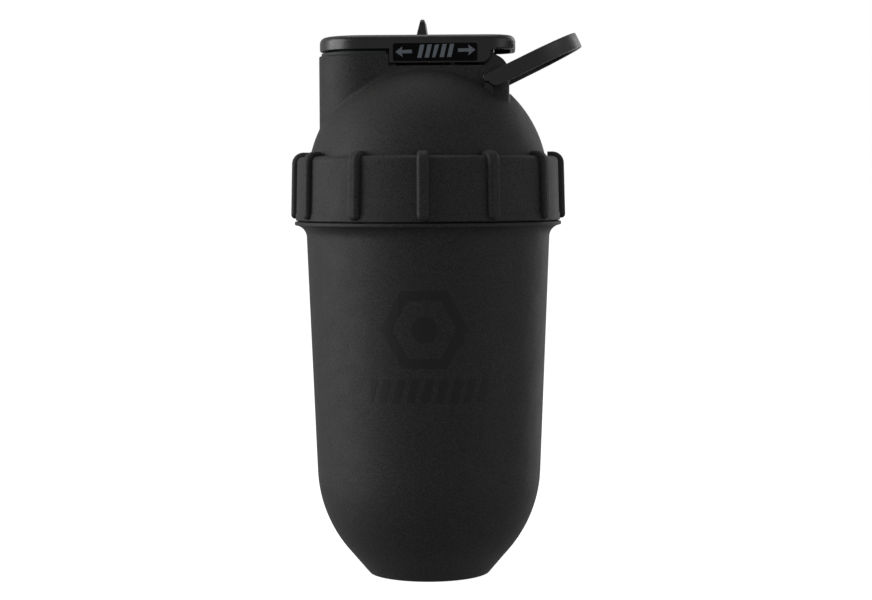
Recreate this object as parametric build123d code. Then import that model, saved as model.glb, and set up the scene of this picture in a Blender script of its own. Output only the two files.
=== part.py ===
from build123d import *

import math
import os

# A protein shaker bottle: a cup, a screw lid with a domed top and an oval neck, and a flip cap
# whose cover slides along its hinged plate. Millimetres, +Z up, the origin on the axis at the
# base plane, the spout at -X and the hinge at +X. A "side" outline has X across and Z up.

# How far a cut runs past the surface that it opens, and how far a piece runs into its neighbour.
OVERCUT = 1.0
OVERLAP = 0.5

# Cup: a foot, a round bowl, a wall that widens upwards, a flange and a threaded neck.
WALL = 2.2
FOOT_RADIUS = 22.0
FOOT_TOP_RADIUS = 29.4
FOOT_HEIGHT = 8.7
BODY_LOW_RADIUS = 40.8
BODY_LOW = 37.6
BODY_TOP_RADIUS = 44.2
BODY_TOP = 123.1
BOWL_FLOOR = 2.5
BASE_GROOVE_INNER = 9.0
BASE_GROOVE_OUTER = 17.0
BASE_GROOVE_DEPTH = 1.4
FOOT_EDGE = 0.6
FOOT_TOP_EDGE = 2.0
RIM_EDGE = 0.6
FLANGE_RADIUS = 48.5
FLANGE_LOW = 127.4
FLANGE_TOP = 128.7
FLANGE_EDGE = 0.4
NECK_RADIUS = 44.2
MOUTH_RADIUS = NECK_RADIUS - WALL
RIM = 149.3

# Thread: right hand, two starts. The lid's ridges sit just under the cup's.
THREAD_LEAD = 12.0
THREAD_STARTS = 2
RIDGE_ROOT_HALF = 1.3
RIDGE_CREST_HALF = 0.7
RIDGE_BITE = 0.3
CUP_CREST_RADIUS = 45.7
CUP_RIDGE_LOW = 132.5
CUP_RIDGE_RISE = 14.0
LID_CREST_RADIUS = 44.55
LID_RIDGE_DROP = 2.2
LID_RIDGE_TURN = 36.0
LID_RIDGE_RISE = 7.2

# Screw collar of the lid, with its seal under the ceiling.
COLLAR_LOW = 129.0
COLLAR_BAND_TOP = 131.8
COLLAR_BAND_RADIUS = 48.1
COLLAR_LOW_RADIUS = 47.85
COLLAR_TOP_RADIUS = 47.4
COLLAR_TOP = 152.1
COLLAR_SHOULDER = 2.0
COLLAR_FOOT_EDGE = 0.5
COLLAR_INNER_RADIUS = 46.1
CEILING = 150.8
LIP_OUTER_RADIUS = 41.3
LIP_INNER_RADIUS = 39.6
LIP_LOW = 147.3
SEAL_INNER_RADIUS = 41.6
SEAL_OUTER_RADIUS = 44.6

# Grip ribs, from the collar's foot over its shoulder to the dome.
RIB_COUNT = 12
RIB_WIDTH = 4.3
RIB_LOW = 129.7
RIB_TOP = 153.8
RIB_LOW_RADIUS = 50.0
RIB_TOP_RADIUS = 49.5
RIB_END_RADIUS = 43.5
RIB_ROOT_RADIUS = 46.9
RIB_BEND = 4.2
RIB_EDGE = 1.4
RIB_LOW_CORNER = 1.9
RIB_SINK = 1.0

# Dome, and the neck that stands on it: round at the spout, square at the hinge. The deck is
# the low top of the neck.
DOME_RADIUS = 43.65
DOME_INNER_RADIUS = 41.3
DOME_CENTRE = 143.1
DECK = 184.2
DECK_UNDER = 182.0
NECK_LEFT = -39.3
NECK_RIGHT = 29.7
NECK_HALF = 18.0
NECK_CORNER = 3.0
NECK_ROOT = 2.0
ROOT_REACH = 0.5
NECK_WALL = 2.3
NECK_FOOT = 152.3
NECK_CAVITY_RIGHT = 16.0
SPOUT_TOP = 188.4
SPOUT_STEP = -13.2
SPOUT_RIM = 4.0
SPOUT_HOLE_RIGHT = -17.0
SPOUT_HOLE_CORNER = 3.0
SPOUT_EDGE = 0.5
SILL_RIGHT = -12.2
SILL_HALF = 16.0
SILL_TOP = 187.9

# Hinge of the cap and of the carry loop.
PIVOT_X = 25.0
PIVOT_Z = 179.5
PIN_RADIUS = 1.5
PIN_HALF = 19.5
PIN_CHAMFER = 0.3
FIXED_BORE = 1.52
RUNNING_BORE = 1.58
EAR_RADIUS = 4.7
KNUCKLE_HALF = 10.0
KNUCKLE_RADIUS = 4.5
KNUCKLE_LEFT = 21.0
WEB_WIDTH = 3.0
KNUCKLE_BACK_RADIUS = 7.5
KNUCKLE_BACK_X = 22.3
KNUCKLE_BACK_Z = 181.3
POCKET_GAP = 0.55
POCKET_SIDE_GAP = 0.3
POCKET_WALL = 2.0

# Stop lugs, where the tails of the carry loop rest.
LUG_LEFT = 20.7
LUG_RIGHT = 23.9
LUG_HALF = 20.0
LUG_FOOT = 168.0
LUG_TOP = 177.7
LUG_CLEARANCE = 3.1
LUG_EDGE = 0.5

# Flip plate, which carries the spout seal below it and the sliding cover round it.
PLATE_LOW = 190.2
PLATE_TOP = 192.2
PLATE_LEFT = -34.1
PLATE_HALF = 14.2
PLATE_SHOULDER = 16.0
PLATE_RIGHT = 24.3
PLATE_RIB_TOP = 193.3
PLATE_RIB_RIGHT = 22.3
PLATE_RIB_Y = 5.0
PLATE_RIB_WIDTH = 1.2
STUD_X = (-29.0, -19.0)
STUD_RADIUS = 2.0
STUD_HOLE = 2.1
STUD_HEAD_RADIUS = 2.9
STUD_HEAD = 0.8

# Spout seal: a pad that shows as a band, and a plug in the spout hole.
PAD_INSET = 0.9
PAD_RIGHT = -14.0
PAD_LIP_TOP = 189.4
PLUG_GAP = 0.7
PLUG_DEPTH = 3.0
PLUG_TAPER = 10.0

# Slide cover.
COVER_LEFT = -39.0
COVER_RIGHT = 31.9
COVER_HALF = 18.0
COVER_LOW = 190.0
COVER_TOP = 195.2
COVER_CORNER = 10.0
COVER_CEILING = 193.6
COVER_WALL = 1.8
COVER_TOP_EDGE = 2.3
COVER_LOW_EDGE = 0.6
SKIRT_LEFT = -12.9
SKIRT_RIGHT = 23.0
SKIRT_LOW = 185.3
SKIRT_WALL = 1.6
SKIRT_JOIN = 191.7
SKIRT_CORNER = 3.2
SKIRT_COVE = 1.0
SKIRT_LEFT_CORNER = 0.5
RAIL_LEFT = -11.0
RAIL_RIGHT = 18.0
RAIL_INNER = 13.0
RAIL_LOW = 188.7
RAIL_TOP = 189.9
FIN_BASE_LEFT = -3.5
FIN_BASE_RIGHT = 0.2
FIN_TIP_LEFT = -2.0
FIN_TIP_RIGHT = -0.7
FIN_TOP = 201.15
FIN_HALF = 10.0
FIN_EDGE = 0.6
FIN_END = 2.5

# Locking hooks under the cover's rails, and their keepers on the deck.
HOOK_LEFT = 1.0
HOOK_LEG_RIGHT = 2.6
HOOK_TIP = 4.6
HOOK_LOW = 185.3
HOOK_FOOT_TOP = 186.5
HOOK_INNER = 13.2
HOOK_OUTER = 15.9
KEEPER_LEFT = 6.0
KEEPER_STEM = 8.6
KEEPER_RIGHT = 10.4
KEEPER_LOW = 186.8
KEEPER_TOP = 188.3

# Label panels, set in the skirts.
LABEL_LEFT = -11.6
LABEL_RIGHT = 18.4
LABEL_LOW = 185.7
LABEL_TOP = 192.1
LABEL_FLOOR = 17.25
LABEL_FACE = 18.05
LABEL_CORNER = 0.8
LABEL_GAP = 0.05

# Carry loop, drawn level along +X from the pivot and then tilted up to its rest angle.
LOOP_TILT = 26.0
LOOP_INNER = 18.3
LOOP_OUTER = 20.5
LOOP_BEND = 12.7
LOOP_HALF = 2.85
LOOP_TAIL = -4.15
LOOP_TAIL_LOW = 0.2
LOOP_TAIL_CORNER = 0.9
LOOP_EDGE = 0.5
LOOP_BORE_DEPTH = 19.7

PIVOT = Pos(PIVOT_X, 0, PIVOT_Z)


def block(x_low, x_high, y_low, y_high, z_low, z_high):
    centre = Pos((x_low + x_high) / 2, (y_low + y_high) / 2, (z_low + z_high) / 2)
    return centre * Box(x_high - x_low, y_high - y_low, z_high - z_low)


def oval(x_low, x_high, half):
    """A plan outline with straight sides and round ends."""
    return Pos((x_low + x_high) / 2, 0) * SlotOverall(x_high - x_low, 2 * half)


def oval_prism(x_low, x_high, half, z_low, z_high):
    return extrude(Plane.XY.offset(z_low) * oval(x_low, x_high, half), z_high - z_low)


def side_prism(outline, y_low, y_high):
    """A side outline, extruded from y_low to y_high."""
    return extrude(Plane.XZ.offset(-y_high) * outline, y_high - y_low)


def cross_rod(radius, y_low, y_high):
    """A round rod along Y, centred on the hinge axis."""
    disc = Pos(PIVOT_X, PIVOT_Z) * Circle(radius)
    return side_prism(disc, y_low, y_high)


def turned(outline):
    """A ring or a body of revolution from an outline of radius and height."""
    return revolve(Plane.XZ * outline, Axis.Z)


def ring(inner, outer, low, high):
    return turned(Polygon((inner, low), (outer, low), (outer, high), (inner, high), align=None))


def rounded(outline, corners):
    """Rounds the outline's corner nearest to each (x, y, radius)."""
    for x, y, radius in corners:
        corner = outline.vertices().sort_by_distance((x, y, 0))[0]
        outline = fillet(corner, radius)
    return outline


def both_sides(shape):
    return shape + mirror(shape, Plane.XZ)


def thread_ridge(root, crest, z_low, rise, turn):
    """One helical ridge: root inside the wall that carries it, crest out in the gap."""
    bite = math.copysign(RIDGE_BITE, root - crest)
    path = Helix(pitch=THREAD_LEAD, height=rise, radius=root)
    section = Polygon(
        (bite, -RIDGE_ROOT_HALF),
        (0, -RIDGE_ROOT_HALF),
        (crest - root, -RIDGE_CREST_HALF),
        (crest - root, RIDGE_CREST_HALF),
        (0, RIDGE_ROOT_HALF),
        (bite, RIDGE_ROOT_HALF),
        align=None,
    )
    start = Plane(origin=path @ 0, x_dir=(1, 0, 0), z_dir=path % 0)
    ridge = sweep(start * section, path=path, is_frenet=True)
    return Pos(0, 0, z_low) * Rot(0, 0, turn) * ridge


def thread(root, crest, z_low, rise, turn):
    ridges = Part()
    for start in range(THREAD_STARTS):
        ridges += thread_ridge(root, crest, z_low, rise, turn + 360 * start / THREAD_STARTS)
    return ridges


def cup():
    taper = (BODY_TOP_RADIUS - BODY_LOW_RADIUS) / (BODY_TOP - BODY_LOW)
    bowl_radius = BODY_LOW_RADIUS - WALL
    bowl_centre = BOWL_FLOOR + bowl_radius
    wall_top = BODY_TOP_RADIUS - WALL
    outline = make_face(
        [
            Line((0, 0), (FOOT_RADIUS, 0)),
            Line((FOOT_RADIUS, 0), (FOOT_TOP_RADIUS, FOOT_HEIGHT)),
            TangentArc(
                (BODY_LOW_RADIUS, BODY_LOW), (FOOT_TOP_RADIUS, FOOT_HEIGHT), tangent=(-taper, -1)
            ),
            Line((BODY_LOW_RADIUS, BODY_LOW), (BODY_TOP_RADIUS, BODY_TOP)),
            TangentArc(
                (BODY_TOP_RADIUS, BODY_TOP), (FLANGE_RADIUS, FLANGE_LOW), tangent=(taper, 1)
            ),
            Polyline(
                (FLANGE_RADIUS, FLANGE_LOW),
                (FLANGE_RADIUS, FLANGE_TOP),
                (NECK_RADIUS, FLANGE_TOP),
                (NECK_RADIUS, RIM),
                (MOUTH_RADIUS, RIM),
                (wall_top, BODY_TOP),
                (bowl_radius, bowl_centre),
            ),
            RadiusArc((bowl_radius, bowl_centre), (0, BOWL_FLOOR), bowl_radius),
            Line((0, BOWL_FLOOR), (0, 0)),
        ]
    )
    outline = rounded(
        outline,
        [
            (FOOT_RADIUS, 0, FOOT_EDGE),
            (FOOT_TOP_RADIUS, FOOT_HEIGHT, FOOT_TOP_EDGE),
            (FLANGE_RADIUS, FLANGE_LOW, FLANGE_EDGE),
            (FLANGE_RADIUS, FLANGE_TOP, FLANGE_EDGE),
            (NECK_RADIUS, RIM, RIM_EDGE),
            (MOUTH_RADIUS, RIM, RIM_EDGE),
        ],
    )
    body = turned(outline)
    body -= ring(BASE_GROOVE_INNER, BASE_GROOVE_OUTER, -OVERCUT, BASE_GROOVE_DEPTH)
    body += thread(NECK_RADIUS, CUP_CREST_RADIUS, CUP_RIDGE_LOW, CUP_RIDGE_RISE, 0)
    return body


def collar_and_dome():
    shoulder = COLLAR_TOP - COLLAR_SHOULDER
    dome_foot = math.sqrt(DOME_RADIUS**2 - (COLLAR_TOP - DOME_CENTRE) ** 2)
    dome_top = math.sqrt(DOME_RADIUS**2 - (DECK - DOME_CENTRE) ** 2)
    outline = make_face(
        [
            Polyline(
                (0, COLLAR_LOW),
                (COLLAR_BAND_RADIUS, COLLAR_LOW),
                (COLLAR_BAND_RADIUS, COLLAR_BAND_TOP),
                (COLLAR_LOW_RADIUS, COLLAR_BAND_TOP),
                (COLLAR_TOP_RADIUS, shoulder),
            ),
            RadiusArc(
                (COLLAR_TOP_RADIUS, shoulder),
                (COLLAR_TOP_RADIUS - COLLAR_SHOULDER, COLLAR_TOP),
                -COLLAR_SHOULDER,
            ),
            Line((COLLAR_TOP_RADIUS - COLLAR_SHOULDER, COLLAR_TOP), (dome_foot, COLLAR_TOP)),
            RadiusArc((dome_foot, COLLAR_TOP), (dome_top, DECK), -DOME_RADIUS),
            Polyline((dome_top, DECK), (0, DECK), (0, COLLAR_LOW)),
        ]
    )
    outline = rounded(outline, [(COLLAR_BAND_RADIUS, COLLAR_LOW, COLLAR_FOOT_EDGE)])
    return turned(outline)


def lid_cavity():
    """The hollow under the lid: the thread space, the seal's groove and the dome's inside."""
    below = COLLAR_LOW - OVERCUT
    wall_top = DOME_CENTRE + math.sqrt(DOME_INNER_RADIUS**2 - LIP_INNER_RADIUS**2)
    flat = math.sqrt(DOME_INNER_RADIUS**2 - (DECK_UNDER - DOME_CENTRE) ** 2)
    outline = make_face(
        [
            Polyline(
                (0, below),
                (COLLAR_INNER_RADIUS, below),
                (COLLAR_INNER_RADIUS, CEILING),
                (LIP_OUTER_RADIUS, CEILING),
                (LIP_OUTER_RADIUS, LIP_LOW),
                (LIP_INNER_RADIUS, LIP_LOW),
                (LIP_INNER_RADIUS, wall_top),
            ),
            RadiusArc((LIP_INNER_RADIUS, wall_top), (flat, DECK_UNDER), -DOME_INNER_RADIUS),
            Polyline((flat, DECK_UNDER), (0, DECK_UNDER), (0, below)),
        ]
    )
    dome_space = turned(outline)
    pocket_shell = block(
        PIVOT_X - KNUCKLE_RADIUS - POCKET_GAP - POCKET_WALL,
        NECK_RIGHT,
        -KNUCKLE_HALF - POCKET_SIDE_GAP - POCKET_WALL,
        KNUCKLE_HALF + POCKET_SIDE_GAP + POCKET_WALL,
        PIVOT_Z - KNUCKLE_RADIUS - POCKET_GAP - POCKET_WALL,
        DECK,
    )
    neck_space = oval_prism(
        NECK_LEFT + NECK_WALL, NECK_CAVITY_RIGHT, NECK_HALF - NECK_WALL, NECK_FOOT, DECK_UNDER
    )
    return (dome_space - pocket_shell) + neck_space


def rib():
    """One grip rib at +X: a bent bar over the collar's shoulder, with its outer edges rounded."""
    bend_low = RIB_TOP - RIB_BEND
    outline = make_face(
        [
            Polyline(
                (RIB_ROOT_RADIUS, RIB_LOW),
                (RIB_LOW_RADIUS, RIB_LOW),
                (RIB_TOP_RADIUS, bend_low),
            ),
            RadiusArc((RIB_TOP_RADIUS, bend_low), (RIB_TOP_RADIUS - RIB_BEND, RIB_TOP), -RIB_BEND),
            Polyline(
                (RIB_TOP_RADIUS - RIB_BEND, RIB_TOP),
                (RIB_END_RADIUS, RIB_TOP),
                (RIB_END_RADIUS, COLLAR_TOP - RIB_SINK),
                (RIB_ROOT_RADIUS - RIB_SINK, COLLAR_TOP - RIB_SINK),
                (RIB_ROOT_RADIUS, COLLAR_TOP - 2 * RIB_SINK),
                (RIB_ROOT_RADIUS, RIB_LOW),
            ),
        ]
    )
    bar = side_prism(outline, -RIB_WIDTH / 2, RIB_WIDTH / 2)
    foot_corners = bar.edges().filter_by(Axis.X).group_by(Axis.Z)[0]
    bar = fillet(foot_corners, RIB_LOW_CORNER)
    outer_edges = []
    for edge in bar.edges():
        middle = edge.center()
        on_rim = abs(middle.Y) > RIB_WIDTH / 4 or middle.Z < RIB_LOW + RIB_SINK / 2
        outside = middle.X > RIB_ROOT_RADIUS + RIB_SINK or middle.Z > COLLAR_TOP + RIB_SINK
        if on_rim and outside:
            outer_edges.append(edge)
    return fillet(outer_edges, RIB_EDGE)


def spout_outline(inset):
    """The spout hole in plan: a round left end and a straight right side."""
    half = NECK_HALF - SPOUT_RIM - inset
    right = SPOUT_HOLE_RIGHT - inset
    outline = oval(NECK_LEFT + SPOUT_RIM + inset, NECK_RIGHT, half)
    keep = Pos(right - NECK_RIGHT, 0) * Rectangle(2 * NECK_RIGHT, 4 * NECK_HALF)
    outline &= keep
    corner = SPOUT_HOLE_CORNER
    return rounded(outline, [(right, half, corner), (right, -half, corner)])


def neck_outline():
    """The neck in plan: a round left end, straight sides and a square right end."""
    outline = oval(NECK_LEFT, NECK_RIGHT, NECK_HALF)
    middle = (NECK_LEFT + NECK_RIGHT) / 2
    outline += Pos((middle + NECK_RIGHT) / 2, 0) * Rectangle(NECK_RIGHT - middle, 2 * NECK_HALF)
    corners = [(NECK_RIGHT, NECK_HALF, NECK_CORNER), (NECK_RIGHT, -NECK_HALF, NECK_CORNER)]
    return rounded(outline, corners)


def neck():
    """The stem with its deck, the raised spout with a sill, and ears rounded over the hinge."""
    stem = extrude(Plane.XY.offset(NECK_FOOT) * neck_outline(), DECK - NECK_FOOT)
    side = NECK_HALF + OVERCUT
    corner = block(PIVOT_X, NECK_RIGHT + OVERCUT, -side, side, PIVOT_Z, DECK + OVERCUT)
    corner -= cross_rod(EAR_RADIUS, -side - OVERCUT, side + OVERCUT)
    spout = extrude(Plane.XY.offset(DECK) * neck_outline(), SPOUT_TOP - DECK)
    spout &= block(NECK_LEFT, SPOUT_STEP, -NECK_HALF, NECK_HALF, DECK, SPOUT_TOP)
    spout = fillet(spout.edges().group_by(Axis.Z)[-1], SPOUT_EDGE)
    spout += block(SPOUT_STEP, SILL_RIGHT, -SILL_HALF, SILL_HALF, DECK, SILL_TOP)
    return stem - corner + spout


def neck_root_edges(lid):
    """The edges where the neck's right end runs into the dome."""
    centre = Vector(0, 0, DOME_CENTRE)
    edges = []
    for edge in lid.edges():
        middle = edge.center()
        on_dome = abs((middle - centre).length - DOME_RADIUS) < ROOT_REACH
        if on_dome and NECK_RIGHT - NECK_CORNER < middle.X < NECK_RIGHT + ROOT_REACH:
            edges.append(edge)
    return edges


def stop_lugs():
    lugs = block(LUG_LEFT, LUG_RIGHT, -LUG_HALF, LUG_HALF, LUG_FOOT, LUG_TOP)
    lugs = fillet(lugs.edges().filter_by(Axis.Z), LUG_EDGE)
    clearance = cross_rod(LUG_CLEARANCE, NECK_HALF, LUG_HALF + OVERCUT)
    return lugs - both_sides(clearance)


def knuckle_pocket():
    half = KNUCKLE_HALF + POCKET_SIDE_GAP
    radius = KNUCKLE_RADIUS + POCKET_GAP
    right = NECK_RIGHT + OVERCUT
    pocket = cross_rod(radius, -half, half)
    pocket += block(PIVOT_X - radius, right, -half, half, PIVOT_Z, DECK + OVERCUT)
    pocket += block(PIVOT_X, right, -half, half, PIVOT_Z - radius, PIVOT_Z)
    return pocket


def keepers():
    """Posts on the deck with an overhang that the cover's hooks slide under."""
    outline = Polygon(
        (KEEPER_STEM, DECK - OVERLAP),
        (KEEPER_RIGHT, DECK - OVERLAP),
        (KEEPER_RIGHT, KEEPER_TOP),
        (KEEPER_LEFT, KEEPER_TOP),
        (KEEPER_LEFT, KEEPER_LOW),
        (KEEPER_STEM, KEEPER_LOW),
        align=None,
    )
    return both_sides(side_prism(outline, HOOK_INNER, HOOK_OUTER))


def lid_shell():
    lid = collar_and_dome() + neck()
    lid = fillet(neck_root_edges(lid), NECK_ROOT)
    lid += stop_lugs()
    for index in range(RIB_COUNT):
        lid += Rot(0, 0, 360 * index / RIB_COUNT) * rib()
    lid -= lid_cavity()
    spout_hole = Plane.XY.offset(DECK_UNDER - OVERCUT) * spout_outline(0)
    lid -= extrude(spout_hole, SPOUT_TOP - DECK_UNDER + 2 * OVERCUT)
    lid -= knuckle_pocket()
    lid -= cross_rod(FIXED_BORE, -LUG_HALF, LUG_HALF)
    lid += keepers()
    turn = LID_RIDGE_TURN
    low = CUP_RIDGE_LOW + THREAD_LEAD * turn / 360 - LID_RIDGE_DROP
    lid += thread(COLLAR_INNER_RADIUS, LID_CREST_RADIUS, low, LID_RIDGE_RISE, turn)
    return lid


def lid_seal():
    return ring(SEAL_INNER_RADIUS, SEAL_OUTER_RADIUS, RIM, CEILING)


def plate_prism(z_low, z_high):
    """The flip plate's plan, round at its left end, between two heights."""
    prism = oval_prism(PLATE_LEFT, NECK_RIGHT, PLATE_HALF, z_low, z_high)
    return prism & block(PLATE_LEFT, PLATE_SHOULDER, -PLATE_HALF, PLATE_HALF, z_low, z_high)


def spout_seal():
    lip_left = NECK_LEFT + PAD_INSET
    lip_half = NECK_HALF - PAD_INSET
    lip = oval_prism(lip_left, NECK_RIGHT, lip_half, SPOUT_TOP, PAD_LIP_TOP)
    pad = lip + plate_prism(PAD_LIP_TOP, PLATE_LOW)
    pad &= block(lip_left, PAD_RIGHT, -NECK_HALF, NECK_HALF, SPOUT_TOP, PLATE_LOW)
    plug_top = Plane.XY.offset(SPOUT_TOP) * spout_outline(PLUG_GAP)
    seal = pad + extrude(plug_top, -PLUG_DEPTH, taper=PLUG_TAPER)
    for x in STUD_X:
        seal += Pos(x, 0, PLATE_LOW) * Cylinder(
            STUD_RADIUS, PLATE_TOP - PLATE_LOW, align=(Align.CENTER, Align.CENTER, Align.MIN)
        )
        head = Cylinder(
            STUD_HEAD_RADIUS, STUD_HEAD, align=(Align.CENTER, Align.CENTER, Align.MIN)
        )
        seal += Pos(x, 0, PLATE_TOP) * head
    return seal


def knuckle():
    """The hinge barrel, with its full round back, and the neck that joins it to the plate."""
    back = Pos(KNUCKLE_BACK_X, KNUCKLE_BACK_Z) * Circle(KNUCKLE_BACK_RADIUS)
    low_cut = PIVOT_Z - OVERCUT
    width = NECK_RIGHT + OVERCUT - KNUCKLE_LEFT
    keep = Pos(KNUCKLE_LEFT + width / 2, low_cut + width) * Rectangle(width, 2 * width)
    web_height = PLATE_LOW + OVERLAP - DECK
    web = Pos(KNUCKLE_LEFT + WEB_WIDTH / 2, DECK + web_height / 2)
    web *= Rectangle(WEB_WIDTH, web_height)
    barrel = Pos(PIVOT_X, PIVOT_Z) * Circle(KNUCKLE_RADIUS)
    return side_prism((back & keep) + barrel + web, -KNUCKLE_HALF, KNUCKLE_HALF)


def flip_plate():
    plate = plate_prism(PLATE_LOW, PLATE_TOP)
    plate += block(
        PLATE_SHOULDER - OVERLAP, PLATE_RIGHT, -KNUCKLE_HALF, KNUCKLE_HALF, PLATE_LOW, PLATE_TOP
    )
    rib_left = PLATE_LEFT + PLATE_HALF
    rib_low = PLATE_RIB_Y - PLATE_RIB_WIDTH / 2
    rib_high = PLATE_RIB_Y + PLATE_RIB_WIDTH / 2
    plate += both_sides(
        block(rib_left, PLATE_RIB_RIGHT, rib_low, rib_high, PLATE_TOP - OVERLAP, PLATE_RIB_TOP)
    )
    for x in STUD_X:
        plate -= Pos(x, 0, PLATE_LOW) * Cylinder(STUD_HOLE, 3 * (PLATE_TOP - PLATE_LOW))
    plate += knuckle()
    plate -= cross_rod(RUNNING_BORE, -KNUCKLE_HALF, KNUCKLE_HALF)
    return plate


def cover_prism(inset, z_low, z_high):
    """The cover's plan, round at the spout and square with round corners at the hinge."""
    left = COVER_LEFT + inset
    right = COVER_RIGHT - inset
    half = COVER_HALF - inset
    outline = oval(left, right, half)
    middle = (left + right) / 2
    outline += Pos((middle + right) / 2, 0) * Rectangle(right - middle, 2 * half)
    corner = COVER_CORNER - inset
    outline = rounded(outline, [(right, half, corner), (right, -half, corner)])
    return extrude(Plane.XY.offset(z_low) * outline, z_high - z_low)


def cover_skirt():
    """The +Y skirt, whose round lower right corner sweeps up to the cover's lower edge."""
    root = SKIRT_RIGHT + 2 * SKIRT_COVE
    outline = Polygon(
        (SKIRT_LEFT, SKIRT_LOW),
        (SKIRT_RIGHT, SKIRT_LOW),
        (SKIRT_RIGHT, COVER_LOW),
        (root, COVER_LOW),
        (root, SKIRT_JOIN),
        (SKIRT_LEFT, SKIRT_JOIN),
        align=None,
    )
    corners = [
        (SKIRT_RIGHT, SKIRT_LOW, SKIRT_CORNER),
        (SKIRT_RIGHT, COVER_LOW, SKIRT_COVE),
        (SKIRT_LEFT, SKIRT_LOW, SKIRT_LEFT_CORNER),
    ]
    outline = rounded(outline, corners)
    skirt = side_prism(outline, COVER_HALF - SKIRT_WALL, COVER_HALF)
    return skirt & cover_prism(0, SKIRT_LOW, SKIRT_JOIN)


def cover_rail_and_hook():
    """The +Y rail that runs under the flip plate, with its locking hook."""
    rail_outer = COVER_HALF - SKIRT_WALL / 2
    rail = block(RAIL_LEFT, RAIL_RIGHT, RAIL_INNER, rail_outer, RAIL_LOW, RAIL_TOP)
    hook = block(HOOK_LEFT, HOOK_LEG_RIGHT, HOOK_INNER, HOOK_OUTER, HOOK_LOW, RAIL_LOW + OVERLAP)
    hook += block(HOOK_LEFT, HOOK_TIP, HOOK_INNER, HOOK_OUTER, HOOK_LOW, HOOK_FOOT_TOP)
    return rail + hook


def cover_fin():
    """The thumb fin: steep on its right, sloped on its left, round at its ends and along its tip."""
    outline = Polygon(
        (FIN_BASE_LEFT, COVER_TOP - OVERLAP),
        (FIN_BASE_RIGHT, COVER_TOP - OVERLAP),
        (FIN_BASE_RIGHT, COVER_TOP),
        (FIN_TIP_RIGHT, FIN_TOP),
        (FIN_TIP_LEFT, FIN_TOP),
        (FIN_BASE_LEFT, COVER_TOP),
        align=None,
    )
    outline = rounded(
        outline, [(FIN_TIP_RIGHT, FIN_TOP, FIN_EDGE), (FIN_TIP_LEFT, FIN_TOP, FIN_EDGE)]
    )
    fin = side_prism(outline, -FIN_HALF, FIN_HALF)
    front = make_face(
        Polyline(
            (-FIN_HALF, COVER_TOP - OVERLAP),
            (FIN_HALF, COVER_TOP - OVERLAP),
            (FIN_HALF, FIN_TOP),
            (-FIN_HALF, FIN_TOP),
            (-FIN_HALF, COVER_TOP - OVERLAP),
        )
    )
    front = rounded(front, [(FIN_HALF, FIN_TOP, FIN_END), (-FIN_HALF, FIN_TOP, FIN_END)])
    return fin & extrude(Plane.YZ.offset(FIN_BASE_LEFT) * front, FIN_BASE_RIGHT - FIN_BASE_LEFT)


def label_block(floor, gap):
    """A label panel's slab at +Y, or with a gap of 0 the recess that it fills."""
    width = LABEL_RIGHT - LABEL_LEFT - 2 * gap
    height = LABEL_TOP - LABEL_LOW - 2 * gap
    outline = Pos((LABEL_LEFT + LABEL_RIGHT) / 2, (LABEL_LOW + LABEL_TOP) / 2)
    outline *= RectangleRounded(width, height, LABEL_CORNER)
    return side_prism(outline, floor, LABEL_FACE)


def slide_cover():
    cover = cover_prism(0, COVER_LOW, COVER_TOP)
    cover = fillet(cover.edges().group_by(Axis.Z)[-1], COVER_TOP_EDGE)
    cover = fillet(cover.edges().group_by(Axis.Z)[0], COVER_LOW_EDGE)
    cover -= cover_prism(COVER_WALL, COVER_LOW - OVERCUT, COVER_CEILING)
    cover += both_sides(cover_skirt() + cover_rail_and_hook())
    cover -= both_sides(label_block(LABEL_FLOOR, 0))
    cover += cover_fin()
    return cover


def label_panel():
    return label_block(LABEL_FLOOR + LABEL_GAP, LABEL_GAP)


def hinge_pin():
    pin = cross_rod(PIN_RADIUS, -PIN_HALF, PIN_HALF)
    ends = pin.edges().filter_by(GeomType.CIRCLE)
    return chamfer(ends, PIN_CHAMFER)


def carry_loop():
    """A U in plan, cut to a side outline of strap, boss and tail, then tilted on the hinge."""
    depth = LOOP_HALF + OVERCUT
    reach = LOOP_BEND + LOOP_OUTER
    outer = oval_prism(-reach, reach, LOOP_OUTER, -depth, depth)
    inner = oval_prism(-reach, LOOP_BEND + LOOP_INNER, LOOP_INNER, -depth, depth)
    u_shape = outer - inner
    strap = Pos(reach / 2, 0) * Rectangle(reach, 2 * LOOP_HALF)
    tail = Pos(LOOP_TAIL / 2, (LOOP_TAIL_LOW + LOOP_HALF) / 2)
    tail *= Rectangle(-LOOP_TAIL, LOOP_HALF - LOOP_TAIL_LOW)
    tail = rounded(
        tail,
        [(LOOP_TAIL, LOOP_HALF, LOOP_TAIL_CORNER), (LOOP_TAIL, LOOP_TAIL_LOW, LOOP_TAIL_CORNER)],
    )
    side = strap + tail + Circle(LOOP_HALF)
    loop = u_shape & side_prism(side, -LOOP_OUTER, LOOP_OUTER)
    loop = fillet(loop.edges(), LOOP_EDGE)
    loop -= side_prism(Circle(RUNNING_BORE), -LOOP_BORE_DEPTH, LOOP_BORE_DEPTH)
    return PIVOT * Rot(0, -LOOP_TILT, 0) * loop


def write(shape, name):
    export_step(shape, "parts/" + name + ".step")
    print(name, round(shape.volume), "mm3", len(shape.solids()), "solid")


def main():
    os.makedirs("parts", exist_ok=True)
    write(cup(), "cup")
    write(lid_shell(), "lid_shell")
    write(lid_seal(), "lid_seal")
    write(spout_seal(), "spout_seal")
    write(flip_plate(), "flip_plate")
    write(slide_cover(), "slide_cover")
    back_panel = label_panel()
    write(back_panel, "label_back")
    write(mirror(back_panel, Plane.XZ), "label_front")
    write(hinge_pin(), "hinge_pin")
    write(carry_loop(), "carry_loop")


main()
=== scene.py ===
import math

import bmesh
import bpy
from mathutils import Matrix, Vector


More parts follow.
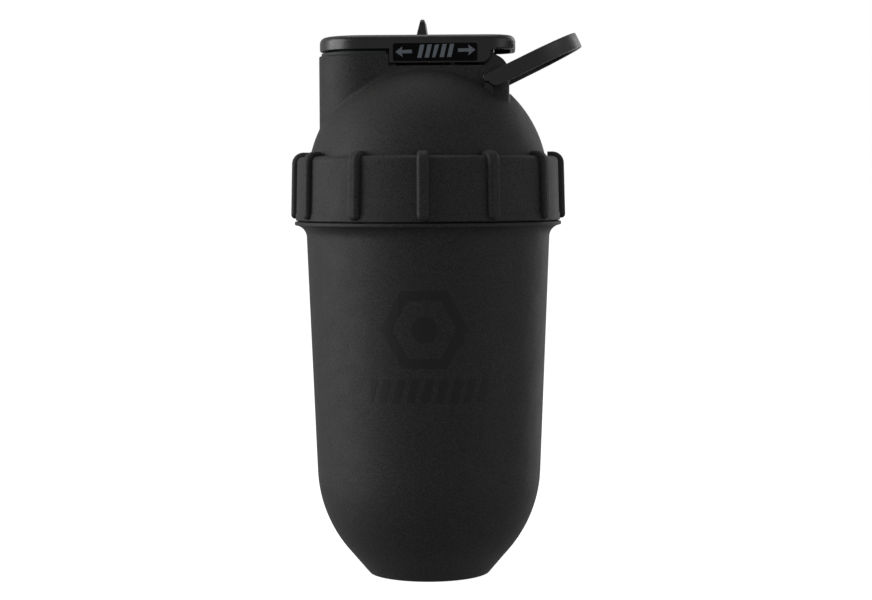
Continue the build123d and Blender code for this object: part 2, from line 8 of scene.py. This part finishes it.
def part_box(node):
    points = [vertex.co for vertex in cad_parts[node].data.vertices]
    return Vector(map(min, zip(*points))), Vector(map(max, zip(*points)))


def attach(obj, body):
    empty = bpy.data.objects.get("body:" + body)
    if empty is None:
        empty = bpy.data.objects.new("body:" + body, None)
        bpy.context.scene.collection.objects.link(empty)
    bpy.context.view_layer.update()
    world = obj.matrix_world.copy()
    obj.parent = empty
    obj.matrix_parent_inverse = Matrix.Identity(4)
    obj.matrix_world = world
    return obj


# The looks of a protein shaker bottle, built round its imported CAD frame. Everything is in metres,
# +Z up, the spout at -X, the hinge at +X, and the side that faces the camera at -Y.

MM = 0.001

# Camera: a long lens level with the lid's collar, looking slightly down, and standing slightly
# round towards the hinge.
CAMERA_DISTANCE = 752 * MM
CAMERA_HEIGHT = 142.9 * MM
CAMERA_AZIMUTH = 2.0
CAMERA_PITCH = 3.28
CAMERA_YAW = 0.212
CAMERA_ROLL = -0.25
CAMERA_LENS = 85.05
CAMERA_NEAR = 0.05
CAMERA_FAR = 100.0
SENSOR_WIDTH = 36.0

# Surroundings as the object sees them: brighter behind it than in front, over a span of the
# direction's Y, and weaker straight above and below, over a span of its height.
ROOM_FRONT = 0.25
ROOM_BACK = 0.5
ROOM_DEPTH = (-0.2, 0.9)
ROOM_POLE_SHARE = 0.75
ROOM_POLE = (0.15, 0.7)

# Soft lights, all aimed at the middle of the bottle: place, width, height and power in watts.
LIGHT_AIM = (0, 0, 0.1)
LIGHTS = {
    "key": ((-1.1, -0.12, 0.28), 0.9, 1.3, 9),
    "fill": ((1.05, -0.45, 0.3), 1.0, 1.2, 1.3),
    "rim": ((0.75, 0.95, 0.3), 0.5, 1.2, 2.5),
    "top": ((-0.1, 0.35, 1.1), 0.7, 0.7, 1.3),
}

# Floor: a disc, far wider than the view.
FLOOR_RADIUS = 30.0
FLOOR_SIDES = 96
FLOOR_TONE = 0.35

# Shading: an edge sharper than this many degrees stays an edge, and the span of a noise
# texture's values that a tint or a sheen is stretched over. The narrow one is for speckle.
SHARP_ANGLE = 30.0
NOISE_SPAN = (0.3, 0.7)
SPECKLE_SPAN = (0.4, 0.6)

# Prints: the label panels' arrows (tail, tip and half the head's width) and bars, and the cup's
# emblem over a row of bars.
INK_THICKNESS = 0.06 * MM
INK_SINK = 0.04 * MM
STRIP_WELD = 0.01
LABEL_TILT = 1.2
LABEL_LIFT = 0.4 * MM
LABEL_STRIP = 50 * MM
LABEL_ARROWS = (
    (-8.2 * MM, -14.1 * MM, 1.85 * MM),
    (8.1 * MM, 14.3 * MM, 1.95 * MM),
)
ARROW_HALF_SHAFT = 0.6 * MM
ARROW_HEAD = 2.3 * MM
ARROW_BARB = 0.12
LABEL_BAR_COUNT = 5
LABEL_BAR_START = -6.4 * MM
LABEL_BAR_PITCH = 2.65 * MM
LABEL_BAR_WIDTH = 1.5 * MM
LABEL_BAR_HALF_HEIGHT = 2.3 * MM
CUP_PRINT_STEP = 1.5 * MM
EMBLEM_HEIGHT = 91.9 * MM
EMBLEM_RADIUS = 15.6 * MM
EMBLEM_BAND = 3.9 * MM
EMBLEM_DOT = 4.6 * MM
EMBLEM_SIDES = 6
DOT_SIDES = 32
BAR_ROW_HEIGHT = 70.5 * MM
BAR_ROW_HALF = 21.5 * MM
BAR_COUNT = 9
BAR_WIDTH = 2.6 * MM
BAR_HALF_HEIGHT = 4.1 * MM
BAR_SLANT = 0.25


# ---------------------------------------------------------------------------- node helpers


def map_range(tree, value, span, out_span):
    """A node that carries a value from one span of numbers to another."""
    node = tree.nodes.new("ShaderNodeMapRange")
    node.inputs["From Min"].default_value = span[0]
    node.inputs["From Max"].default_value = span[1]
    node.inputs["To Min"].default_value = out_span[0]
    node.inputs["To Max"].default_value = out_span[1]
    tree.links.new(value, node.inputs["Value"])
    return node


class Shader:
    """A Principled material with short calls for the textures that the surfaces share."""

    def __init__(self, name, colour, roughness):
        self.material = bpy.data.materials.new(name)
        self.material.use_nodes = True
        self.tree = self.material.node_tree
        self.nodes = self.tree.nodes
        self.links = self.tree.links
        self.surface = self.nodes["Principled BSDF"]
        self.surface.inputs["Base Color"].default_value = (*colour, 1.0)
        self.surface.inputs["Roughness"].default_value = roughness
        self.place = self.nodes.new("ShaderNodeTexCoord").outputs["Object"]
        self.normal = None

    def set(self, socket, value):
        self.surface.inputs[socket].default_value = value

    def noise(self, scale, detail=2.0, stretch=(1.0, 1.0, 1.0)):
        """A noise texture in the object's own metres; scale is in features per metre."""
        mapping = self.nodes.new("ShaderNodeMapping")
        mapping.inputs["Scale"].default_value = stretch
        self.links.new(self.place, mapping.inputs["Vector"])
        texture = self.nodes.new("ShaderNodeTexNoise")
        texture.inputs["Scale"].default_value = scale
        texture.inputs["Detail"].default_value = detail
        self.links.new(mapping.outputs["Vector"], texture.inputs["Vector"])
        return texture.outputs["Fac"]

    def cells(self, scale):
        """A pebbled texture; scale is in pebbles per metre."""
        texture = self.nodes.new("ShaderNodeTexVoronoi")
        texture.inputs["Scale"].default_value = scale
        self.links.new(self.place, texture.inputs["Vector"])
        return texture.outputs["Distance"]

    def tint(self, value, dark, light, span=NOISE_SPAN):
        """Colours the surface between two tones by a texture."""
        ramp = self.nodes.new("ShaderNodeValToRGB")
        first, last = ramp.color_ramp.elements
        first.position, last.position = span
        first.color = (*dark, 1.0)
        last.color = (*light, 1.0)
        self.links.new(value, ramp.inputs["Fac"])
        self.links.new(ramp.outputs["Color"], self.surface.inputs["Base Color"])

    def sheen_of(self, value, rough):
        """Varies the roughness by a texture, over the span given."""
        node = map_range(self.tree, value, NOISE_SPAN, rough)
        self.links.new(node.outputs["Result"], self.surface.inputs["Roughness"])

    def bump(self, height, depth, strength):
        """Adds a height field of the given depth in metres to the surface's relief."""
        node = self.nodes.new("ShaderNodeBump")
        node.inputs["Strength"].default_value = strength
        node.inputs["Distance"].default_value = depth
        self.links.new(height, node.inputs["Height"])
        if self.normal is not None:
            self.links.new(self.normal, node.inputs["Normal"])
        self.normal = node.outputs["Normal"]
        self.links.new(self.normal, self.surface.inputs["Normal"])


def shade(value):
    """A grey."""
    return (value, value, value)


# ---------------------------------------------------------------------------- materials


def soft_touch(name, tone):
    """Matt soft-touch paint: a fine speckle and pebble, with uneven dryness over it."""
    paint = Shader(name, shade(tone), 0.62)
    dark = (tone * 0.6, tone * 0.62, tone * 0.59)
    light = (tone * 1.52, tone * 1.56, tone * 1.48)
    paint.tint(paint.noise(2300.0, detail=2.0), dark, light, SPECKLE_SPAN)
    paint.sheen_of(paint.noise(140.0, detail=3.0), rough=(0.6, 0.66))
    paint.bump(paint.noise(1700.0, detail=3.0), depth=0.08 * MM, strength=0.6)
    paint.bump(paint.cells(2400.0), depth=0.02 * MM, strength=0.5)
    paint.set("Specular IOR Level", 0.45)
    return paint.material


def moulded_black(name, tone, rough, grain):
    """Black moulded plastic: a spark-eroded grain of a given depth, flow marks, uneven gloss."""
    plastic = Shader(name, shade(tone), rough[0])
    flow = plastic.noise(60.0, detail=3.0, stretch=(0.4, 1.0, 1.6))
    plastic.tint(flow, shade(tone * 0.85), shade(tone * 1.2))
    plastic.sheen_of(plastic.noise(260.0, detail=3.0), rough)
    plastic.bump(plastic.noise(2000.0, detail=3.0), depth=grain, strength=0.6)
    plastic.set("Specular IOR Level", 0.95)
    return plastic.material


def silicone(name):
    """Soft grey rubber, evenly matt."""
    rubber = Shader(name, (0.045, 0.05, 0.055), 0.6)
    dark = (0.04, 0.044, 0.048)
    light = (0.05, 0.056, 0.062)
    rubber.tint(rubber.noise(150.0, detail=3.0), dark, light)
    rubber.bump(rubber.noise(2600.0, detail=2.0), depth=0.02 * MM, strength=0.5)
    rubber.set("Specular IOR Level", 0.4)
    return rubber.material


def steel(name):
    """Ground steel, with fine marks drawn out along the pin."""
    metal = Shader(name, (0.6, 0.6, 0.61), 0.28)
    metal.set("Metallic", 1.0)
    marks = metal.noise(900.0, detail=2.0, stretch=(1.0, 0.05, 1.0))
    metal.sheen_of(marks, rough=(0.2, 0.36))
    scratches = metal.noise(4000.0, detail=1.0, stretch=(1.0, 0.03, 1.0))
    metal.bump(scratches, depth=0.004 * MM, strength=0.5)
    return metal.material


def label_gloss(name):
    """The label panel's near-black gloss face, faintly rippled."""
    film = Shader(name, shade(0.003), 0.26)
    film.set("Specular IOR Level", 0.12)
    film.tint(film.noise(400.0, detail=3.0), shade(0.0025), shade(0.004))
    film.sheen_of(film.noise(120.0, detail=3.0), rough=(0.2, 0.32))
    film.bump(film.noise(900.0, detail=2.0), depth=0.006 * MM, strength=0.4)
    return film.material


def ink(name, colour, rough):
    """A printed film: slightly mottled where it takes up the grain under it."""
    film = Shader(name, colour, rough)
    dark = [channel * 0.9 for channel in colour]
    light = [channel * 1.1 for channel in colour]
    film.tint(film.noise(1500.0, detail=3.0), dark, light)
    film.bump(film.noise(4200.0, detail=2.0), depth=0.01 * MM, strength=0.4)
    return film.material


# ---------------------------------------------------------------------------- mesh helpers


def new_piece(name, mesh, material, body):
    """A piece with one material that rides on a body of the frame."""
    piece = bpy.data.objects.new(name, mesh)
    bpy.context.scene.collection.objects.link(piece)
    mesh.materials.append(material)
    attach(piece, body)


def film_mesh(name, outlines, place, step):
    """A thin closed film from flat outlines (u, v) in metres. Each is cut into strips of width
    step, and place(u, v, height) puts a point of it on the surface that carries it."""
    flat = bmesh.new()
    for outline in outlines:
        flat.faces.new([flat.verts.new((u, v, 0)) for u, v in outline])
    us = [u for outline in outlines for u, v in outline]
    first = math.ceil(min(us) / step)
    last = math.floor(max(us) / step)
    for index in range(first, last + 1):
        whole = flat.verts[:] + flat.edges[:] + flat.faces[:]
        cut = (index * step, 0, 0)
        bmesh.ops.bisect_plane(flat, geom=whole, plane_co=cut, plane_no=(1, 0, 0))
    bmesh.ops.remove_doubles(flat, verts=flat.verts, dist=step * STRIP_WELD)
    bmesh.ops.triangulate(flat, faces=flat.faces)
    bmesh.ops.recalc_face_normals(flat, faces=flat.faces)
    film = bmesh.new()
    top = {}
    bottom = {}
    for vert in flat.verts:
        top[vert] = film.verts.new(place(vert.co.x, vert.co.y, INK_THICKNESS))
        bottom[vert] = film.verts.new(place(vert.co.x, vert.co.y, -INK_SINK))
    for face in flat.faces:
        film.faces.new([top[v] for v in face.verts])
        film.faces.new([bottom[v] for v in reversed(face.verts)])
    for edge in flat.edges:
        if edge.is_boundary:
            one, two = edge.verts
            film.faces.new([top[one], bottom[one], bottom[two], top[two]])
    bmesh.ops.recalc_face_normals(film, faces=film.faces)
    mesh = bpy.data.meshes.new(name)
    film.to_mesh(mesh)
    film.free()
    flat.free()
    return mesh


def slanted_bar(start, width, half_height):
    """A bar about v = 0 that leans towards +u, its foot starting at start."""
    lean = 2 * half_height * BAR_SLANT
    end = start + width
    return [
        (start, -half_height),
        (end, -half_height),
        (end + lean, half_height),
        (start + lean, half_height),
    ]


def arrow_outline(tail, tip, half_head):
    """An arrow along u from tail to tip, about v = 0; it points to either side."""
    way = 1 if tip > tail else -1
    neck = tip - way * ARROW_HEAD
    barb = neck - way * ARROW_HEAD * ARROW_BARB
    return [
        (tail, -ARROW_HALF_SHAFT),
        (neck, -ARROW_HALF_SHAFT),
        (barb, -half_head),
        (tip, 0),
        (barb, half_head),
        (neck, ARROW_HALF_SHAFT),
        (tail, ARROW_HALF_SHAFT),
    ]


# ---------------------------------------------------------------------------- prints


def label_print(node, face_side, material):
    """Two arrows with five slanted bars between them, printed on a label panel."""
    low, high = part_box(node)
    face_y = low.y if face_side < 0 else high.y
    middle = Vector(((low.x + high.x) / 2, face_y, (low.z + high.z) / 2))
    middle.z += LABEL_LIFT
    turn = math.radians(LABEL_TILT)

    def place(u, v, height):
        x = u * math.cos(turn) - v * math.sin(turn)
        z = u * math.sin(turn) + v * math.cos(turn)
        return middle + Vector((-face_side * x, face_side * height, z))

    outlines = [arrow_outline(*arrow) for arrow in LABEL_ARROWS]
    for index in range(LABEL_BAR_COUNT):
        start = LABEL_BAR_START + index * LABEL_BAR_PITCH
        outlines.append(slanted_bar(start, LABEL_BAR_WIDTH, LABEL_BAR_HALF_HEIGHT))
    name = node + "_print"
    mesh = film_mesh(name, outlines, place, LABEL_STRIP)
    new_piece(name, mesh, material, "cover")


def ngon(sides, radius):
    """A regular polygon's corners, the first on the u axis."""
    points = []
    for index in range(sides):
        angle = 2 * math.pi * index / sides
        points.append((radius * math.cos(angle), radius * math.sin(angle)))
    return points


def emblem_outlines():
    """A hexagon's band round a dot."""
    outer = ngon(EMBLEM_SIDES, EMBLEM_RADIUS)
    inner = ngon(EMBLEM_SIDES, EMBLEM_RADIUS - EMBLEM_BAND)
    outlines = [ngon(DOT_SIDES, EMBLEM_DOT)]
    for index in range(EMBLEM_SIDES):
        after = (index + 1) % EMBLEM_SIDES
        outlines.append([outer[index], outer[after], inner[after], inner[index]])
    return outlines


def bar_row_outlines():
    """The cup's row of slanted bars, evenly spaced."""
    pitch = (2 * BAR_ROW_HALF - BAR_WIDTH) / (BAR_COUNT - 1)
    outlines = []
    for index in range(BAR_COUNT):
        start = -BAR_ROW_HALF + index * pitch
        outlines.append(slanted_bar(start, BAR_WIDTH, BAR_HALF_HEIGHT))
    return outlines


def cup_print(cup, name, outlines, centre_height, material):
    """A print wrapped round the cup's wall, in the middle of its -Y side."""
    far = 2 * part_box("cup")[1].x

    def wall(angle, z):
        out = Vector((math.sin(angle), -math.cos(angle), 0))
        start = out * far + Vector((0, 0, z))
        spot = cup.ray_cast(start, -out)[1]
        return spot, out

    radius = -wall(0, centre_height)[0].y

    def place(u, v, height):
        spot, out = wall(u / radius, centre_height + v)
        return spot + out * height

    mesh = film_mesh(name, outlines, place, CUP_PRINT_STEP)
    new_piece(name, mesh, material, "cup")


def build_prints(nodes, materials):
    label_print("label_front", -1, materials["ink_light"])
    label_print("label_back", 1, materials["ink_light"])
    dark = materials["ink_dark"]
    cup_print(nodes["cup"], "cup_emblem", emblem_outlines(), EMBLEM_HEIGHT, dark)
    cup_print(nodes["cup"], "cup_bars", bar_row_outlines(), BAR_ROW_HEIGHT, dark)


# ---------------------------------------------------------------------------- stage


def build_world():
    """White to the eye, and for the object a dim room: brighter behind, darker above and below."""
    world = bpy.data.worlds.new("studio")
    bpy.context.scene.world = world
    world.use_nodes = True
    nodes = world.node_tree.nodes
    links = world.node_tree.links
    nodes.clear()
    out = nodes.new("ShaderNodeOutputWorld")
    mix = nodes.new("ShaderNodeMixShader")
    seen = nodes.new("ShaderNodeBackground")
    seen.inputs["Color"].default_value = (1, 1, 1, 1)
    seen.inputs["Strength"].default_value = 1.0
    room = nodes.new("ShaderNodeBackground")
    way = nodes.new("ShaderNodeTexCoord")
    parts = nodes.new("ShaderNodeSeparateXYZ")
    links.new(way.outputs["Generated"], parts.inputs["Vector"])
    depth = map_range(world.node_tree, parts.outputs["Y"], ROOM_DEPTH, (ROOM_FRONT, ROOM_BACK))
    depth.interpolation_type = "SMOOTHSTEP"
    height = nodes.new("ShaderNodeMath")
    height.operation = "ABSOLUTE"
    links.new(parts.outputs["Z"], height.inputs[0])
    pole_span = (1.0, ROOM_POLE_SHARE)
    level = map_range(world.node_tree, height.outputs["Value"], ROOM_POLE, pole_span)
    strength = nodes.new("ShaderNodeMath")
    strength.operation = "MULTIPLY"
    links.new(depth.outputs["Result"], strength.inputs[0])
    links.new(level.outputs["Result"], strength.inputs[1])
    links.new(strength.outputs["Value"], room.inputs["Strength"])
    path = nodes.new("ShaderNodeLightPath")
    links.new(path.outputs["Is Camera Ray"], mix.inputs["Fac"])
    links.new(room.outputs["Background"], mix.inputs[1])
    links.new(seen.outputs["Background"], mix.inputs[2])
    links.new(mix.outputs["Shader"], out.inputs["Surface"])


def build_floor():
    """A plain pale floor, bright enough to read as white paper."""
    mesh = bpy.data.meshes.new("floor")
    shape = bmesh.new()
    bmesh.ops.create_circle(shape, cap_ends=True, radius=FLOOR_RADIUS, segments=FLOOR_SIDES)
    shape.to_mesh(mesh)
    shape.free()
    floor = bpy.data.objects.new("floor", mesh)
    bpy.context.scene.collection.objects.link(floor)
    paper = Shader("floor_paper", shade(FLOOR_TONE), 0.9)
    paper.set("Emission Color", (1, 1, 1, 1))
    paper.set("Emission Strength", 1.0)
    mesh.materials.append(paper.material)
    floor.visible_diffuse = False
    floor.visible_glossy = False


def build_lights():
    for name, (place, width, height, power) in LIGHTS.items():
        data = bpy.data.lights.new(name, "AREA")
        data.shape = "RECTANGLE"
        data.size = width
        data.size_y = height
        data.energy = power
        light = bpy.data.objects.new(name, data)
        bpy.context.scene.collection.objects.link(light)
        light.location = place
        aim = Vector(LIGHT_AIM) - Vector(place)
        light.rotation_euler = aim.to_track_quat("-Z", "Y").to_euler()


def build_camera():
    data = bpy.data.cameras.new("camera")
    data.lens = CAMERA_LENS
    data.sensor_width = SENSOR_WIDTH
    data.clip_start = CAMERA_NEAR
    data.clip_end = CAMERA_FAR
    camera = bpy.data.objects.new("camera", data)
    bpy.context.scene.collection.objects.link(camera)
    azimuth = math.radians(CAMERA_AZIMUTH)
    camera.location = (
        CAMERA_DISTANCE * math.sin(azimuth),
        -CAMERA_DISTANCE * math.cos(azimuth),
        CAMERA_HEIGHT,
    )
    heading = Matrix.Rotation(azimuth - math.radians(CAMERA_YAW), 4, "Z")
    pitch = Matrix.Rotation(math.radians(90 - CAMERA_PITCH), 4, "X")
    roll = Matrix.Rotation(math.radians(CAMERA_ROLL), 4, "Z")
    camera.rotation_euler = (heading @ pitch @ roll).to_euler()
    bpy.context.scene.camera = camera


# ---------------------------------------------------------------------------- assembly


def smooth(node):
    """Smooth shading, with the sharp edges kept."""
    mesh = node.data
    mesh.shade_smooth()
    mesh.set_sharp_from_angle(angle=math.radians(SHARP_ANGLE))


def dress(nodes, materials):
    """Gives each CAD node its finish."""
    finishes = {
        "cup": "paint_cup",
        "lid_shell": "paint_lid",
        "lid_seal": "silicone",
        "spout_seal": "silicone",
        "hinge_pin": "steel",
        "flip_plate": "black_gloss",
        "slide_cover": "black_cover",
        "carry_loop": "black_loop",
        "label_front": "label",
        "label_back": "label",
    }
    for name, finish in finishes.items():
        node = nodes[name]
        node.data.materials.clear()
        node.data.materials.append(materials[finish])
        smooth(node)


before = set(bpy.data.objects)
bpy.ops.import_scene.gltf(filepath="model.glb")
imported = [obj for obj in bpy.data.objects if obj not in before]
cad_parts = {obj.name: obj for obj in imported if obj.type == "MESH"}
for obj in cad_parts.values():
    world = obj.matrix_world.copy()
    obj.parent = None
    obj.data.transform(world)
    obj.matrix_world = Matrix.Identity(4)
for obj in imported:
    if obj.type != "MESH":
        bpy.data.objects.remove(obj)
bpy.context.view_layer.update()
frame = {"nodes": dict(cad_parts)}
bpy.context.scene.view_settings.view_transform = "Standard"

materials = {
    "paint_cup": soft_touch("paint_cup", 0.031),
    "paint_lid": soft_touch("paint_lid", 0.031),
    "silicone": silicone("silicone"),
    "steel": steel("steel"),
    "black_gloss": moulded_black("black_gloss", 0.008, rough=(0.14, 0.24), grain=0.004 * MM),
    "black_cover": moulded_black("black_cover", 0.012, rough=(0.25, 0.38), grain=0.1 * MM),
    "black_loop": moulded_black("black_loop", 0.018, rough=(0.28, 0.5), grain=0.05 * MM),
    "label": label_gloss("label"),
    "ink_light": ink("ink_light", (0.21, 0.24, 0.28), rough=0.5),
    "ink_dark": ink("ink_dark", (0.018, 0.018, 0.019), rough=0.6),
}

dress(frame["nodes"], materials)
build_prints(frame["nodes"], materials)
build_world()
build_floor()
build_lights()
build_camera()
